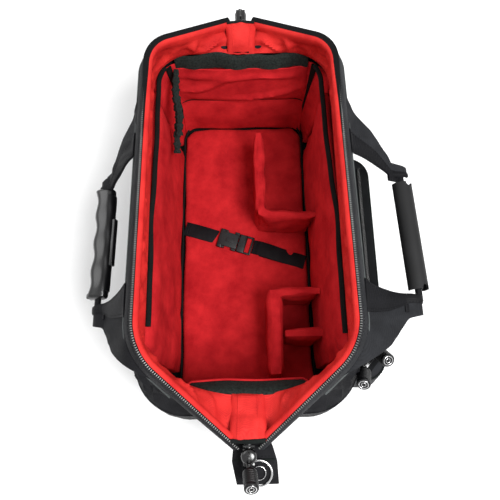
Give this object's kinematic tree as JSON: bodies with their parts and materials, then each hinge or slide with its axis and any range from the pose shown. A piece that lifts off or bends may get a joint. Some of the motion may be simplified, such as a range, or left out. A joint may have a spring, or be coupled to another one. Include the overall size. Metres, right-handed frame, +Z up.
{
  "type": "camera bag",
  "caption": "Padded camera bag with a hinged, zipped mouth, soft dividers, an outer pocket and two moulded carrying handles, standing open.",
  "frame": {"origin": "middle of the flat base that the bag stands on", "axes": "+Z up; +Y along the bag's length, towards its far end; +X towards the side with the outer pocket"},
  "size_m": [0.4598, 0.7064, 0.2832],
  "materials": {
    "black_cloth": "woven nylon",
    "grey_cloth": "coarse woven nylon",
    "red_lining": "smooth nylon",
    "red_padding": "padded nylon",
    "binding": "ribbed tape",
    "zip_tape": "woven tape",
    "piping": "smooth cord",
    "webbing": "ribbed webbing",
    "silver": "bright",
    "steel": "satin",
    "slider": "gloss",
    "grip_plastic": "semi-gloss",
    "grip_rubber": "matte",
    "pull_rubber": "matte",
    "buckle_plastic": "satin",
    "board": "matte",
    "ring": "polished"
  },
  "bodies": {
    "bag": {"base_board": "board", "bracket_rivets": "steel", "buckle_socket": "buckle_plastic", "corner_strap": "binding", "end_brackets": "steel", "far_pocket": "red_lining", "floor_pad": "red_padding", "hems": "binding", "hinge_pins": "steel", "lining_end_panels": "red_lining", "lining_left": "red_lining", "lining_right": "red_lining", "main_sliders": "slider", "near_pocket": "red_lining", "padding_far_end": "red_padding", "padding_left": "red_padding", "padding_near_end": "red_padding", "padding_right": "red_padding", "pocket_elastics": "binding", "pocket_zips": "zip_tape", "shell_bottom": "black_cloth", "shell_far_end": "black_cloth", "shell_left": "black_cloth", "shell_near_end": "black_cloth", "shell_right": "black_cloth", "side_pocket": "grey_cloth", "strap_left": "webbing", "strap_right": "webbing", "tab_ring": "ring", "upper_wall_left": "black_cloth", "upper_wall_right": "black_cloth", "zip_tab": "black_cloth", "zip_tails": "zip_tape"},
    "mouth_left": {"frame_left": "steel", "zip_tape_left": "zip_tape", "zip_teeth_left": "silver", "top_band_left": "zip_tape", "piping_left": "piping"},
    "mouth_right": {"frame_right": "steel", "zip_tape_right": "zip_tape", "zip_teeth_right": "silver", "top_band_right": "zip_tape", "piping_right": "piping"},
    "handle_left": {"handle_wings_left": "grey_cloth", "handle_core_left": "webbing", "handle_grip_left": "grip_plastic"},
    "handle_right": {"handle_wings_right": "grey_cloth", "handle_core_right": "webbing", "handle_grip_right": "grip_rubber"},
    "near_pull": {"main_pull_near": "pull_rubber"},
    "far_pull": {"main_pull_far": "pull_rubber"},
    "pocket_runner_top": {"pocket_slider_top": "slider"},
    "pocket_runner_end": {"pocket_slider_end": "slider"},
    "top_runner_pull": {"pocket_pull_top": "pull_rubber"},
    "end_runner_pull": {"pocket_pull_end": "pull_rubber"},
    "divider_far": {"divider_far": "red_padding"},
    "divider_near": {"divider_near": "red_padding"},
    "divider_cross": {"divider_cross": "red_padding"},
    "buckle_plug": {"buckle_plug": "buckle_plastic"}
  },
  "joints": [
    {"name": "close_left", "type": "hinge", "parent": "bag", "child": "mouth_left", "pos_m": [0, 0, 0.215], "axis": [0, 1, 0], "range_deg": [0, 63], "deforming": ["lining_left", "upper_wall_left", "lining_end_panels"]},
    {"name": "close_right", "type": "hinge", "parent": "bag", "child": "mouth_right", "pos_m": [0, 0, 0.215], "axis": [0, -1, 0], "range_deg": [0, 63], "deforming": ["lining_right", "upper_wall_right"]},
    {"name": "lift_left", "type": "hinge", "parent": "mouth_left", "child": "handle_left", "pos_m": [-0.152, -0.04, 0.25], "axis": [0, 1, 0], "range_deg": [0, 95]},
    {"name": "lift_right", "type": "hinge", "parent": "mouth_right", "child": "handle_right", "pos_m": [0.152, -0.04, 0.25], "axis": [0, -1, 0], "range_deg": [0, 67.5]},
    {"name": "near_pull_turn", "type": "hinge", "parent": "bag", "child": "near_pull", "pos_m": [0, -0.3294, 0.222], "axis": [1, 0, 0], "range_deg": [-12, 44]},
    {"name": "far_pull_turn", "type": "hinge", "parent": "bag", "child": "far_pull", "pos_m": [0, 0.334, 0.2185], "axis": [1, 0, 0], "range_deg": [0, 120]},
    {"name": "pocket_top_zip", "type": "slide", "parent": "bag", "child": "pocket_runner_top", "axis": [0, 1, 0], "range_m": [0, 0.235]},
    {"name": "pocket_end_zip", "type": "slide", "parent": "bag", "child": "pocket_runner_end", "axis": [-0.6428, -0.766, 0], "range_m": [0, 0.005]},
    {"name": "top_pull_turn", "type": "hinge", "parent": "pocket_runner_top", "child": "top_runner_pull", "pos_m": [0.168, -0.1936, 0.196], "axis": [0.9182, 0.3961, 0], "range_deg": [0, 47]},
    {"name": "end_pull_turn", "type": "hinge", "parent": "pocket_runner_end", "child": "end_runner_pull", "pos_m": [0.1522, -0.2148, 0.196], "axis": [0.9539, -0.3, 0], "range_deg": [-40, 0]},
    {"name": "lift_divider_far", "type": "slide", "parent": "bag", "child": "divider_far", "axis": [0, 0, 1], "range_m": [0, 0.2]},
    {"name": "lift_divider_near", "type": "slide", "parent": "bag", "child": "divider_near", "axis": [0, 0, 1], "range_m": [0, 0.2]},
    {"name": "lift_divider_cross", "type": "slide", "parent": "bag", "child": "divider_cross", "axis": [0, 0, 1], "range_m": [0, 0.2]},
    {"name": "unclip_buckle", "type": "slide", "parent": "bag", "child": "buckle_plug", "axis": [0.9514, -0.3078, 0], "range_m": [0, 0.026], "deforming": ["strap_right"]}
  ]
}
